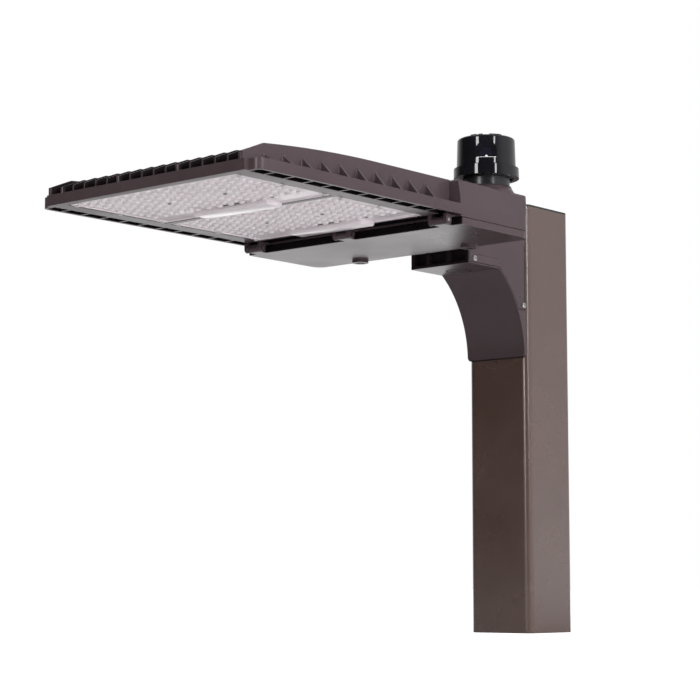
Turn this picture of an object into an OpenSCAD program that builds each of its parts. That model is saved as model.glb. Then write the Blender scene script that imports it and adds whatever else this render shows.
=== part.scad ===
// Shoebox area light on a short length of square pole.
// The origin is the middle of the pole's cut foot, +Z is up, and the head reaches out along -Y.
// Side outlines are drawn in (out, up): out from the pole's front face, up from the door's underside.

/* [Pole] */
// Outside width of the square pole
pole_w = 101.6; // [96:0.1:116]
// Wall of the pole
pole_wall = 4.8; // [3:0.1:6.5]
// Outside corner radius of the pole
pole_corner_r = 10; // [7:0.5:14]
// Height of the door's underside above the pole's foot
head_z = 500; // [300:10:900]
// How far the pole's cut end stands above the door's underside
pole_rise = 84; // [70:1:110]
// Thickness of the pole cap's plate
cap_t = 2.5; // [1.5:0.5:4]
// Depth of the pole cap's skirt
cap_skirt_h = 16; // [8:1:30]

/* [Arm] */
// Distance from the pole's face to the housing's rear wall
arm_reach = 169.2; // [150:0.5:220]
// Distance from the pole's face to the arm's lower front face
shelf_reach = 128; // [110:1:140]
// Width of the arm across the pole's face
arm_w = 98; // [84:1:100]
// Height of the arm's top above the door's underside
arm_top = 52; // [46:1:56]
// How far the arm's flat bottom lies below the door's underside
arm_sag = 11; // [6:0.5:16]
// How far the arm's lower end lies below the door's underside
arm_drop = 126; // [110:1:150]
// Thickness of the arm's lower end, measured out from the pole
arm_tip_t = 4; // [3:0.5:8]
// Length of the flat bottom's inner end, measured out from the pole
arm_flat_from = 61; // [55:1:70]
// Wall of the arm casting
arm_wall = 5; // [4:0.5:6]
// Thickness of the arm's bolted pads on the pole and on the housing
arm_pad_t = 6; // [5:0.5:8]
// Thickness of the arm's side cover
side_cover_t = 3; // [2:0.5:4]
// Diameter of the plug in the arm's flat bottom
plug_d = 34; // [26:1:38]

/* [Housing] */
// Width of the head over its side bands
head_w = 360; // [350:1:400]
// Depth of the driver box, front to back
box_d = 143; // [138:1:170]
// Length from the driver box to the front band's face
led_l = 362; // [358:1:400]
// Height of the driver box's top above the door's underside
box_top = 57; // [54:1:70]
// How far the driver box's sides lean in by their top
box_lean = 5; // [2:0.5:8]
// Wall of the driver box
box_wall = 4; // [3:0.5:5]
// Radius of the driver box's two rear corners
box_rear_r = 15; // [13:0.5:25]
// Height of the plain band round the light's edge
band_h = 13; // [10:0.5:16]
// Thickness of the band
band_t = 4; // [3:0.5:5]
// Corner radius of the band
band_corner_r = 10; // [8:1:16]
// How far the band's rounded corners lie behind its front face
band_corner_back = 6; // [3:0.5:10]
// Width of the air slots between the band and the heat sink
slot_w = 16; // [12:0.5:20]
// Height of the heat sink's underside above the door's underside
sink_z = 12; // [11:0.5:14]
// Thickness of the heat sink's plate
sink_t = 10; // [9:0.5:12]

/* [Fins] */
// Number of fins between the two side walls
fin_count = 16; // [8:2:20]
// Thickness of a fin
fin_t = 2.5; // [1.5:0.1:3.5]
// Length of the crowned stretch of the fins' top
crown_l = 215; // [150:5:240]
// Radius of the crown
crown_r = 1900; // [1500:50:3000]
// Length of the sloping stretch at each fin's front
fin_nose_l = 33; // [20:1:45]
// How far that slope falls below the crown
fin_nose_drop = 10; // [4:0.5:12]
// Distance from the band's face to the fins' front
fin_setback = 10; // [8:0.5:14]
// Number of ribs that carry each side band
rib_count = 10; // [6:1:12]
// Distance from the driver box to the last rib
rib_rear = 46.3; // [40:0.1:60]
// Thickness of a rib
rib_t = 3; // [2:0.5:4]

/* [Door] */
// Height of the tray-shaped door
door_h = 9; // [8:0.5:12]
// Wall of the door
door_wall = 3; // [2:0.5:3.5]
// How far the door's outline lies inside the driver box's outline
door_inset = 1; // [0.5:0.5:2]
// Distance of the door's side hinges from the head's side
hinge_side = 25; // [22:1:60]
// Radius of the hinge pins
hinge_pin_r = 2; // [1.5:0.1:2.5]
// Distance of the captive screws from the middle
door_screw_x = 92; // [75:1:100]
// Radius of a captive screw's shank
door_screw_r = 3; // [2.5:0.1:3.5]

/* [Light modules] */
// Distance from the heat sink's side to the lens pockets
pocket_side = 22; // [15:0.5:24]
// Distance from the band's face to the front pocket
pocket_front = 11.5; // [9:0.5:13]
// Width of the bar between the two pockets
pocket_bar = 8.5; // [7:0.5:10]
// Distance from the trough to the rear pocket
pocket_rear = 2; // [1.5:0.5:4]
// Number of light sources across a module
chip_columns = 14; // [6:1:14]
// Number of light sources along a module
chip_rows = 11; // [5:1:11]
// Distance from a pocket's side to the first column of light sources
chip_side = 18.4; // [14:0.1:30]
// Distance from a pocket's rear edge to the last row of light sources
chip_rear = 35; // [33:0.5:50]
// Thickness of the lens plate
lens_t = 2; // [1.5:0.1:2.5]
// Length of the wire hump across each lens plate
hump_w = 124; // [90:1:160]

/* [Photocell] */
// Distance of the photocell's axis from the head's side
cell_side = 40; // [39:1:60]
// Distance of the photocell's axis from the driver box's rear face
cell_in = 40; // [38:1:70]
// Radius of the raised seat on the driver box, at its top
seat_r = 32; // [31:0.5:34]
// Height of the raised seat
seat_h = 6; // [4:0.5:10]
// Radius of the receptacle's visible disc
receptacle_r = 29.5; // [27:0.5:30.5]
// Height of the receptacle's visible disc
receptacle_h = 11; // [8:0.5:16]
// Radius of the photocell's body
cell_r = 37.5; // [36:0.5:40]
// Radius of the photocell's skirt
skirt_r = 41.5; // [41:0.5:45]
// Height of the photocell's skirt
skirt_h = 14; // [10:1:20]
// Height of the photocell over its skirt and body
cell_h = 52; // [50:1:66]

/* [Hidden] */
$fn = 64;

// Shared clearances and the overrun that takes every cut past its face
over = 1;
seam_gap = 0.5;
soft_gap = 0.3;
run_gap = 0.05;
clear_gap = 0.25;

// Places worked out from the driving sizes, out from the pole's face
pole_h = head_z + pole_rise;
arm_gasket_t = 2;
arm_end = arm_reach - arm_gasket_t;
box_front = arm_reach + box_d;
head_front = box_front + led_l;
trough_d = 20;
sink_rear = box_front + trough_d;
fin_front = head_front - fin_setback;
sink_half = head_w / 2 - band_t - slot_w;
sink_top = sink_z + sink_t;
wall_t = 3;

// Stands a flat outline in (out, up) on its edge and gives it a width along X
module side_slab(x_from, x_to) {
    translate([x_to, -pole_w / 2, head_z])
        rotate([90, 0, -90])
            linear_extrude(x_to - x_from)
                children();
}

// Puts children at a place given as x, out and up
module at(x, out, up) {
    translate([x, -pole_w / 2 - out, head_z + up])
        children();
}

// A rectangle with rounded corners, drawn from its middle
module round_rect(w, l, r) {
    square([w - 2 * r, l], center = true);
    square([w, l - 2 * r], center = true);
    for (sx = [-1, 1], sy = [-1, 1])
        translate([sx * (w / 2 - r), sy * (l / 2 - r)])
            circle(r);
}

// An upright block with rounded corners that spans x, out and up
module block(x0, x1, out0, out1, up0, up1, r = 0) {
    at((x0 + x1) / 2, (out0 + out1) / 2, up0)
        linear_extrude(up1 - up0)
            if (r > 0)
                round_rect(x1 - x0, out1 - out0, r);
            else
                square([x1 - x0, out1 - out0], center = true);
}

// A round bar along Y from one reach to another
module bar_out(x, up, out0, out1, r) {
    at(x, out0, up)
        rotate([90, 0, 0])
            cylinder(h = out1 - out0, r = r);
}

hex_sides = 6;

// A hexagon bolt head across its corners, growing up from its seat
module hex_head(r, h) {
    cylinder(h = h, r = r, $fn = hex_sides);
}

// Pole

pole_bolt_r = 5;
pole_bolt_up = 35;
pole_wire_r = 12;

module pole_section() {
    color([0.33, 0.25, 0.22])
        difference() {
            linear_extrude(pole_h)
                difference() {
                    round_rect(pole_w, pole_w, pole_corner_r);
                    round_rect(pole_w - 2 * pole_wall, pole_w - 2 * pole_wall, pole_corner_r - pole_wall);
                }
            for (side = [-1, 1])
                bar_out(0, side * pole_bolt_up, -pole_wall - over, over, pole_bolt_r + clear_gap);
            bar_out(0, 0, -pole_wall - over, over, pole_wire_r);
        }
}

cap_skirt_t = 2;

module pole_cap() {
    cap_skirt_w = pole_w - 2 * pole_wall - 2 * clear_gap;
    cap_skirt_r = pole_corner_r - pole_wall;
    color([0.12, 0.1, 0.1])
        union() {
            translate([0, 0, pole_h])
                linear_extrude(cap_t)
                    round_rect(pole_w, pole_w, pole_corner_r);
            translate([0, 0, pole_h - cap_skirt_h])
                linear_extrude(cap_skirt_h)
                    difference() {
                        round_rect(cap_skirt_w, cap_skirt_w, cap_skirt_r);
                        square(cap_skirt_w - 2 * cap_skirt_t, center = true);
                    }
        }
}

// Arm

arm_span = arm_flat_from - arm_tip_t;
arm_fall = arm_drop - arm_sag;
arm_curve_r = (arm_fall * arm_fall + arm_span * arm_span) / (2 * arm_span);
shelf_top = 12;
shelf_wall = 14;
arm_foot_r = 6;
cover_lip = 1.5;
cover_seam = 1;
cover_foot = 62;
arm_bolt_x = 30;
arm_bolt_low = 23;
arm_bolt_high = 43;
housing_bolt_r = 4;
bushing_r = 9;
wire_up = 33;

curve_facets = 200;

// The arm's side outline; edge draws it smaller all round
module arm_outline(edge, rear, low_front, up_front) {
    difference() {
        union() {
            translate([rear, -arm_drop])
                square([low_front - rear, arm_drop + arm_top - edge]);
            translate([rear, shelf_top + edge])
                square([up_front - rear, arm_top - shelf_top - 2 * edge]);
        }
        intersection() {
            translate([arm_tip_t + arm_curve_r, -arm_drop])
                circle(arm_curve_r + edge, $fn = curve_facets);
            translate([-over, -arm_drop - over])
                square([arm_reach + 2 * over, arm_drop + over - arm_sag + edge]);
        }
    }
}

cover_screw_r = 2;
cover_boss_r = 4.5;
cover_boss_l = 14;
cover_screw_in = 12.5;
cover_screw_rise = 7.2;
cover_screws_low = [shelf_reach - cover_screw_in, cover_screw_rise - arm_sag];
cover_screws_rear = [arm_pad_t, cover_screw_in / 2 - cover_foot];
cover_screws_top = [arm_reach / 2, arm_top - arm_wall - cover_screw_r];
cover_screw_places = [cover_screws_low, cover_screws_rear, cover_screws_top];

module side_bar(x0, x1, place, r) {
    side_slab(x0, x1)
        translate(place)
            circle(r);
}

pocket_rib_t = 4;
shelf_pocket_d = 9;
shelf_rib_shares = [0.28, 0.635];
middle_share = 0.5;

module arm_casting() {
    cover_seat = arm_w / 2 - side_cover_t;
    shelf_rib_x = [for (share = shelf_rib_shares) (share - middle_share) * arm_w];
    pocket_x = concat([-arm_w / 2 + arm_wall - pocket_rib_t / 2], shelf_rib_x,
        [arm_w / 2 - arm_wall + pocket_rib_t / 2]);
    color([0.3, 0.26, 0.25])
        difference() {
            union() {
                difference() {
                    side_slab(-arm_w / 2, arm_w / 2)
                        arm_outline(0, 0, shelf_reach, arm_end);
                    side_slab(-arm_w / 2 + arm_wall, arm_w / 2 - arm_wall)
                        arm_cavity();
                    side_slab(arm_w / 2 - arm_wall - over, arm_w / 2 + over)
                        intersection() {
                            arm_cavity();
                            translate([-over, arm_wall - cover_foot])
                                square([arm_reach, arm_top + cover_foot]);
                        }
                    side_slab(cover_seat, arm_w / 2 + over)
                        cover_outline(cover_lip);
                }
                for (place = cover_screw_places)
                    side_bar(cover_seat - cover_boss_l, cover_seat, place, cover_boss_r);
            }
            for (place = cover_screw_places)
                side_bar(cover_seat - cover_boss_l + cover_screw_r, cover_seat + over, place,
                    cover_screw_r + run_gap);
            for (i = [0 : len(pocket_x) - 2])
                block(pocket_x[i] + pocket_rib_t / 2, pocket_x[i + 1] - pocket_rib_t / 2,
                    shelf_reach - shelf_pocket_d, shelf_reach + over,
                    -arm_sag + pocket_rib_t, shelf_top - pocket_rib_t / 2);
            for (side = [-1, 1])
                bar_out(0, side * pole_bolt_up, -over, arm_pad_t + over, pole_bolt_r + clear_gap);
            bar_out(0, 0, -over, arm_pad_t + over, pole_wire_r);
            for (sx = [-1, 1], up = [arm_bolt_low, arm_bolt_high])
                bar_out(sx * arm_bolt_x, up, arm_end - arm_pad_t - over, arm_end + over,
                    housing_bolt_r + run_gap);
            bar_out(0, wire_up, arm_end - arm_pad_t - over, arm_end + over, bushing_r + clear_gap);
            at(plug_x, plug_out, -arm_sag - over)
                cylinder(h = arm_wall + 2 * over, r = plug_hole_r);
            at(plug_x, plug_out, -arm_sag - over)
                cylinder(h = plug_flange_t + over, r = plug_d / 2);
            for (side = [-1, 1])
                at(side * (arm_w / 2 - arm_foot_r), -over, arm_foot_r - arm_drop)
                    rotate([90, 0, 0])
                        linear_extrude(arm_tip_t + 2 * over)
                            foot_corner(side);
        }
}

// What is cut away to round one lower corner of the arm
module foot_corner(side) {
    cut_w = arm_foot_r + over;
    difference() {
        translate([side * cut_w / 2, -cut_w / 2])
            square(cut_w, center = true);
        circle(arm_foot_r);
    }
}

module arm_cavity() {
    arm_outline(arm_wall, arm_pad_t, shelf_reach - shelf_wall, arm_end - arm_pad_t);
}

// The side cover's outline inside the arm's edge
module cover_outline(edge) {
    intersection() {
        arm_outline(edge, edge, shelf_reach - edge, arm_end - edge);
        translate([-over, -cover_foot + edge - cover_lip])
            square([arm_reach + 2 * over, arm_top + cover_foot + over]);
    }
}

groove_w = 1.2;
groove_d = 0.8;
groove_out = 3;
groove_rise = 10;
short_groove_from_share = 0.52;
short_groove_share = 0.345;
screw_head_r = 4;
screw_head_h = 2.4;

module arm_side_cover() {
    cover_edge = cover_lip + cover_seam;
    groove_low = groove_rise - cover_foot;
    color([0.36, 0.32, 0.33])
        difference() {
            side_slab(arm_w / 2 - side_cover_t, arm_w / 2)
                cover_outline(cover_edge);
            for (place = cover_screw_places)
                side_bar(arm_w / 2 - side_cover_t - over, arm_w / 2 + over, place, cover_screw_r + clear_gap);
            side_slab(arm_w / 2 - groove_d, arm_w / 2 + over) {
                translate([groove_out, groove_low])
                    square([groove_w, arm_top / 2 - groove_low]);
                translate([shelf_reach * short_groove_from_share, groove_w])
                    square([shelf_reach * short_groove_share, groove_w]);
            }
        }
}

module arm_cover_screws() {
    cover_seat = arm_w / 2 - side_cover_t;
    color([0.62, 0.6, 0.58])
        for (place = cover_screw_places)
            union() {
                side_bar(arm_w / 2, arm_w / 2 + screw_head_h, place, screw_head_r);
                side_bar(cover_seat - cover_boss_l + 2 * cover_screw_r, arm_w / 2, place, cover_screw_r);
            }
}

plug_x = -6;
plug_out = 79;
plug_wall = 2;
plug_lip = 3;
plug_flange_t = 1.5;
plug_ring = 0.8;
plug_hole_r = plug_d / 2 - plug_lip;

module arm_plug() {
    color([0.24, 0.2, 0.19])
        difference() {
            union() {
                at(plug_x, plug_out, -arm_sag)
                    cylinder(h = plug_flange_t, r = plug_d / 2 - plug_ring);
                at(plug_x, plug_out, -arm_sag)
                    cylinder(h = arm_wall + plug_wall, r = plug_hole_r - run_gap);
            }
            at(plug_x, plug_out, plug_flange_t - arm_sag)
                cylinder(h = arm_wall + plug_wall + over - plug_flange_t, r = plug_hole_r - plug_wall);
        }
}

module arm_gasket() {
    color([0.1, 0.1, 0.1])
        difference() {
            block(-arm_w / 2 + soft_gap, arm_w / 2 - soft_gap, arm_end, arm_reach,
                shelf_top + soft_gap, arm_top - soft_gap);
            for (sx = [-1, 1], up = [arm_bolt_low, arm_bolt_high])
                bar_out(sx * arm_bolt_x, up, arm_end - over, arm_reach + over, housing_bolt_r + clear_gap);
            bar_out(0, wire_up, arm_end - over, arm_reach + over, bushing_r + clear_gap);
        }
}

// Bolts through the pole and the housing

washer_t = 2;
pole_head_r = 9;
pole_head_h = 6.5;
nut_plate_t = 8;
nut_plate_w = 50;
nut_plate_h = 100;

module pole_bolts() {
    color([0.66, 0.66, 0.67])
        for (side = [-1, 1])
            union() {
                bar_out(0, side * pole_bolt_up, -pole_wall - nut_plate_t, arm_pad_t + washer_t, pole_bolt_r);
                at(0, arm_pad_t + washer_t, side * pole_bolt_up)
                    rotate([90, 0, 0])
                        hex_head(pole_head_r, pole_head_h);
            }
}

module pole_bolt_washers() {
    color([0.7, 0.7, 0.7])
        for (side = [-1, 1])
            difference() {
                bar_out(0, side * pole_bolt_up, arm_pad_t, arm_pad_t + washer_t, pole_head_r + washer_t);
                bar_out(0, side * pole_bolt_up, arm_pad_t - over, arm_pad_t + washer_t + over,
                    pole_bolt_r + clear_gap);
            }
}

module pole_nut_plate() {
    color([0.58, 0.58, 0.57])
        difference() {
            block(-nut_plate_w / 2, nut_plate_w / 2, -pole_wall - nut_plate_t, -pole_wall,
                -nut_plate_h / 2, nut_plate_h / 2);
            for (side = [-1, 1])
                bar_out(0, side * pole_bolt_up, -pole_wall - nut_plate_t - over, over, pole_bolt_r + run_gap);
            bar_out(0, 0, -pole_wall - nut_plate_t - over, over, pole_wire_r);
        }
}

housing_head_r = 7.5;
housing_head_h = 5;

module housing_bolts() {
    head_from = arm_reach + box_wall + washer_t;
    color([0.66, 0.66, 0.67])
        for (sx = [-1, 1], up = [arm_bolt_low, arm_bolt_high])
            union() {
                bar_out(sx * arm_bolt_x, up, arm_end - arm_pad_t, head_from, housing_bolt_r);
                at(sx * arm_bolt_x, head_from, up)
                    rotate([90, 0, 0])
                        hex_head(housing_head_r, housing_head_h);
            }
}

module housing_bolt_washers() {
    wash_from = arm_reach + box_wall;
    color([0.7, 0.7, 0.7])
        for (sx = [-1, 1], up = [arm_bolt_low, arm_bolt_high])
            difference() {
                bar_out(sx * arm_bolt_x, up, wash_from, wash_from + washer_t, housing_head_r + washer_t / 2);
                bar_out(sx * arm_bolt_x, up, wash_from - over, wash_from + washer_t + over,
                    housing_bolt_r + clear_gap);
            }
}

bushing_lip = 2.5;

module wire_bushing() {
    lip_from = arm_reach + box_wall;
    color([0.08, 0.08, 0.08])
        difference() {
            union() {
                bar_out(0, wire_up, arm_end - arm_pad_t, lip_from, bushing_r);
                bar_out(0, wire_up, lip_from, lip_from + bushing_lip, bushing_r + bushing_lip);
            }
            bar_out(0, wire_up, arm_end - arm_pad_t - over, lip_from + bushing_lip + over,
                bushing_r - bushing_lip);
        }
}

// Housing

box_low = door_h + seam_gap;
band_top = sink_z + band_h;
ceiling = box_top - box_wall;
box_edge_r = 5;
box_edge_from = 10;
box_front_r = 2.5;
ledge_w = 6;
ledge_t = 3;
hinge_share = 0.4;
hinge_out = sink_rear - hinge_share * trough_d;
hinge_up = 5;
knuckle_r = 5;
knuckle_w = 18;
lug_t = 5;
lug_half = 5;
hinge_x = head_w / 2 - hinge_side;
hinge_places = [-hinge_x, 0, hinge_x];
trough_roof_drop = 2;
trough_roof = sink_top - trough_roof_drop;
door_screw_in = 15;
door_screw_out = arm_reach + door_screw_in;
screw_block_w = 16;
screw_block_top = 24;
screw_room = 1.2;
cell_x = head_w / 2 - cell_side;
cell_out = arm_reach + cell_in;
neck_r = 20;
seat_flare = 3.5;
fin_side_gap = 13;
fin_pitch = 2 * (sink_half - fin_side_gap) / (fin_count - 1);
post_r = 3.5;
post_every = 5;
rib_first = 34;
rib_pitch = (led_l - rib_first - rib_rear) / (rib_count - 1);
web_below = 12;
web_post_r = 2.2;
face_lap = 3;

arc_steps = 6;

// Points along an arc from angle a0 to a1
function arc_points(cx, cy, r, a0, a1, n = arc_steps) =
    [for (i = [0 : n]) [cx + r * cos(a0 + (a1 - a0) * i / n), cy + r * sin(a0 + (a1 - a0) * i / n)]];

// The driver box seen from the front, in (x, up); inset draws its inside
module box_front_outline(inset, low, r) {
    half_top = head_w / 2 - box_lean - inset;
    top = box_top - inset;
    right = concat([[head_w / 2 - inset, low], [head_w / 2 - inset, band_top]],
        arc_points(half_top - r, top - r, r, box_edge_from, 90));
    left = [for (i = [len(right) - 1 : -1 : 0]) [-right[i][0], right[i][1]]];
    polygon(concat(right, left));
}

// An upright block with the driver box's plan, smaller by inset all round
module box_plan(inset, low, high) {
    rear_r = box_rear_r - inset;
    intersection() {
        block(-head_w / 2 + inset, head_w / 2 - inset, arm_reach + inset, box_front + 2 * box_rear_r,
            low, high, rear_r);
        block(-head_w / 2 + inset, head_w / 2 - inset, arm_reach - 2 * box_rear_r, box_front - inset,
            low, high, box_front_r);
    }
}

module box_solid(inset, low, edge_r) {
    top = box_top - inset;
    intersection() {
        at(0, arm_reach + inset, 0)
            rotate([90, 0, 0])
                linear_extrude(box_d - 2 * inset)
                    box_front_outline(inset, low, edge_r);
        side_slab(-head_w / 2, head_w / 2)
            polygon(concat([[arm_reach + inset, low], [box_front - inset, low]],
                arc_points(box_front - inset - edge_r, top - edge_r, edge_r, 0, 90),
                arc_points(arm_reach + inset + edge_r, top - edge_r, edge_r, 90, 180)));
        box_plan(inset, low, box_top);
    }
}

// Height of the crowned fin tops at a reach
function crown_up(out) =
    let (past = out - (fin_front - crown_l))
    past > 0 ? box_top - past * past / (2 * crown_r) : box_top;

// A fin's side outline up to its front, with its crowned top and sloping nose
module fin_outline(front) {
    crown_from = fin_front - crown_l;
    nose_from = front - fin_nose_l;
    steps = 8;
    polygon(concat([[box_front - box_wall / 2, trough_roof], [box_front - box_wall / 2, box_top]],
        [for (i = [0 : steps])
            let (out = crown_from + (nose_from - crown_from) * i / steps) [out, crown_up(out)]],
        [for (i = [1 : steps])
            let (out = nose_from + fin_nose_l * i / steps) [out, crown_up(out) - fin_nose_drop * i / steps]],
        [[front, sink_top - wall_t], [sink_rear, sink_top - wall_t], [sink_rear, trough_roof]]));
}

// The heat sink's outer walls reach down to its underside and out to the band's face
module side_wall_outline() {
    fin_outline(head_front);
    translate([sink_rear, sink_z])
        square([head_front - sink_rear, sink_t]);
}

// The band's two sides and rounded corners, smaller by inset all round
module band_plan(inset) {
    w = head_w - 2 * inset;
    l = led_l - band_corner_back - inset;
    translate([0, -l / 2])
        round_rect(w, l, band_corner_r - inset);
    translate([-w / 2, -l / 2])
        square([w, l / 2 + box_wall / 2]);
}

// The band with its front face, which stands proud of the corners
module band() {
    face_half = sink_half + face_lap;
    step_l = band_corner_back + band_t;
    at(0, box_front, sink_z)
        linear_extrude(band_h) {
            difference() {
                band_plan(0);
                band_plan(band_t);
                translate([-head_w / 2 + band_t, 0])
                    square([head_w - 2 * band_t, box_wall]);
            }
            translate([-face_half, -led_l])
                square([2 * face_half, band_t]);
            for (side = [-1, 1])
                translate([side * (face_half - (face_lap + wall_t) / 2), step_l / 2 - led_l])
                    square([face_lap + wall_t, step_l], center = true);
        }
}

// One rib that carries the band, with the web and the round post above it, for the +X side
module rib(out) {
    slot_far = head_w / 2 - band_t / 2;
    web_top = crown_up(out) - web_below;
    at(0, out - rib_t / 2, 0)
        rotate([90, 0, 0])
            linear_extrude(rib_t)
                polygon([[sink_half - wall_t / 2, sink_z], [slot_far, sink_z],
                    [slot_far, band_top - wall_t / 2], [sink_half, web_top],
                    [sink_half - wall_t / 2, web_top]]);
    at(sink_half, out, sink_top)
        cylinder(h = web_top - sink_top, r = web_post_r);
}

module housing_solids() {
    box_solid(0, box_low, box_edge_r);
    at(cell_x, cell_out, box_top - box_wall)
        cylinder(h = box_wall, r = seat_r + seat_flare);
    at(cell_x, cell_out, box_top)
        cylinder(h = seat_h, r1 = seat_r + seat_flare, r2 = seat_r);
    block(-sink_half, sink_half, sink_rear, head_front - band_t / 2, sink_z, sink_top);
    block(-sink_half, sink_half, box_front - box_wall / 2, sink_rear + wall_t,
        trough_roof, sink_top + wall_t);
    for (i = [0 : fin_count - 1])
        let (x = (i - (fin_count - 1) / 2) * fin_pitch) {
            side_slab(x - fin_t / 2, x + fin_t / 2)
                fin_outline(fin_front);
            if (i % post_every == 0)
                at(x, fin_front - post_r / 2, sink_top - wall_t)
                    cylinder(h = wall_t + crown_up(fin_front) - fin_nose_drop - sink_top, r = post_r);
        }
    for (side = [-1, 1])
        translate([side * (sink_half - wall_t / 2), 0, 0])
            side_slab(-wall_t / 2, wall_t / 2)
                side_wall_outline();
    band();
    for (i = [0 : rib_count - 1], flip = [0, 1])
        mirror([flip, 0, 0])
            rib(head_front - rib_first - i * rib_pitch);
    block(duct_x - duct_w / 2, duct_x + duct_w / 2, box_front - box_wall / 2,
        front_lead_out + duct_end_share * duct_w, sink_top - wall_t, sink_top + duct_h);
}

module housing_insides() {
    for (x = hinge_places, side = [-1, 1])
        side_slab(x + side * (knuckle_w / 2 + seam_gap + lug_t / 2) - lug_t / 2,
            x + side * (knuckle_w / 2 + seam_gap + lug_t / 2) + lug_t / 2) {
            translate([box_front - box_wall / 2, box_low])
                square([hinge_out + lug_half - box_front + box_wall / 2, trough_roof - box_low + wall_t / 2]);
            translate([hinge_out - lug_half, hinge_up])
                square([2 * lug_half, trough_roof - hinge_up + wall_t / 2]);
            translate([hinge_out, hinge_up])
                circle(lug_half);
        }
    ring_block(box_wall / 2, box_wall / 2 + ledge_w, box_low, box_low + ledge_t);
    for (side = [-1, 1])
        block(side * door_screw_x - screw_block_w / 2, side * door_screw_x + screw_block_w / 2,
            arm_reach + box_wall / 2, door_screw_out + screw_block_w / 2, box_low + ledge_t, screw_block_top);
}

module housing_cuts() {
    for (side = [-1, 1])
        at(side * door_screw_x, door_screw_out, box_low)
            cylinder(h = screw_block_top - box_low - wall_t, r = door_screw_r + screw_room);
    for (x = hinge_places)
        side_slab(x - knuckle_w, x + knuckle_w)
            translate([hinge_out, hinge_up])
                circle(hinge_pin_r + run_gap / 2);
    for (front = pocket_fronts) {
        block(-pocket_w / 2, pocket_w / 2, front - pocket_l, front, sink_z - over, board_ledge);
        block(-pocket_w / 2 + side_ledge_w, pocket_w / 2 - side_ledge_w, front - pocket_l + end_ledge_w,
            front - end_ledge_w, sink_z - over, board_top);
        for (place = lens_screw_places(front))
            at(place[0], place[1], board_ledge - over)
                cylinder(h = lens_screw_bite + over + clear_gap, r = lens_screw_r + run_gap);
    }
    for (sx = [-1, 1], up = [arm_bolt_low, arm_bolt_high])
        bar_out(sx * arm_bolt_x, up, arm_reach - over, arm_reach + box_wall + over,
            housing_bolt_r + clear_gap);
    bar_out(0, wire_up, arm_reach - over, arm_reach + box_wall + over, bushing_r + clear_gap);
    at(cell_x, cell_out, ceiling - over)
        cylinder(h = box_wall + seat_h + 2 * over, r = neck_r + run_gap);
    for (place = ceiling_screws)
        at(place[0], place[1], ceiling - over)
            cylinder(h = over + box_wall - roof_left, r = ceiling_screw_r + run_gap);
    lead_run(rear_lead_x, rear_lead_out, box_front - 2 * box_wall, lead_r + clear_gap, over);
    lead_run(front_lead_x, front_lead_out, box_front - 2 * box_wall, lead_r + clear_gap, over);
}

module housing() {
    color([0.33, 0.29, 0.3])
        difference() {
            union() {
                difference() {
                    housing_solids();
                    box_solid(box_wall, box_low - over, box_edge_r / 2);
                }
                housing_insides();
            }
            housing_cuts();
        }
}

// Light modules

board_t = 1.6;
ledge_depth = 4.8;
pocket_depth = 7;
board_ledge = sink_z + ledge_depth;
board_top = sink_z + pocket_depth;
side_ledge_w = 8;
end_ledge_w = 4;
board_edge_gap = 1;
pocket_w = 2 * (sink_half - pocket_side);
pocket_l = (led_l - trough_d - pocket_front - pocket_bar - pocket_rear) / 2;
pocket_fronts = [head_front - pocket_front, head_front - pocket_front - pocket_l - pocket_bar];
chip_size = 3;
chip_h = 1;
chip_first = 7;
chip_pitch_x = (pocket_w - 2 * chip_side) / (chip_columns - 1);
chip_pitch_y = (pocket_l - chip_first - chip_rear) / (chip_rows - 1);
lens_edge_gap = 0.5;
lens_gasket_t = 1;
lens_gasket_w = 6;
lens_gasket_end_w = 3;
lens_top = board_ledge - lens_gasket_t;
lens_low = lens_top - lens_t;
hump_l = 29;
hump_drop = 4.5;
hump_low = sink_z - hump_drop;
hump_wall = 2;
ear_w = 14;
lens_screw_r = 1.5;
lens_screw_in = 4;
lens_screw_end = 10;
lens_screw_bite = 4;
lens_head_r = 2.8;
lens_head_h = 1.8;

function lens_screw_places(front) =
    [for (sx = [-1, 1],
        out = [front - lens_screw_end, front - pocket_l / 2, front - pocket_l + lens_screw_end])
        [sx * (pocket_w / 2 - lens_screw_in), out]];

function module_lead(front) =
    front == pocket_fronts[0] ? [front_lead_x, front_lead_out] : [rear_lead_x, rear_lead_out];

// A circuit board with its grid of light sources, for the pocket whose front edge is given
module led_board(front) {
    side_rim = side_ledge_w + board_edge_gap;
    end_rim = end_ledge_w + board_edge_gap;
    board_low = board_top - board_t;
    color([0.93, 0.93, 0.9])
        difference() {
            union() {
                block(-pocket_w / 2 + side_rim, pocket_w / 2 - side_rim, front - pocket_l + end_rim,
                    front - end_rim, board_low, board_top);
                at(0, front, board_low - chip_h)
                    linear_extrude(chip_h + board_t / 2)
                        for (row = [0 : chip_rows - 1], column = [0 : chip_columns - 1])
                            translate([(column - (chip_columns - 1) / 2) * chip_pitch_x,
                                chip_first + row * chip_pitch_y])
                                square(chip_size, center = true);
            }
            at(module_lead(front)[0], module_lead(front)[1], board_low - over)
                cylinder(h = board_t + 2 * over, r = lead_r + clear_gap);
        }
}

module led_board_front() {
    led_board(pocket_fronts[0]);
}

module led_board_rear() {
    led_board(pocket_fronts[1]);
}

connector_w = 16;
connector_l = 10;
connector_h = 5;

module board_connectors() {
    color([0.95, 0.95, 0.93])
        for (front = pocket_fronts)
            let (place = module_lead(front))
                block(place[0] - connector_w / 2, place[0] + connector_w / 2, place[1] - connector_l / 2,
                    place[1] + connector_l / 2, board_top - board_t - connector_h, board_top - board_t);
}

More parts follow.
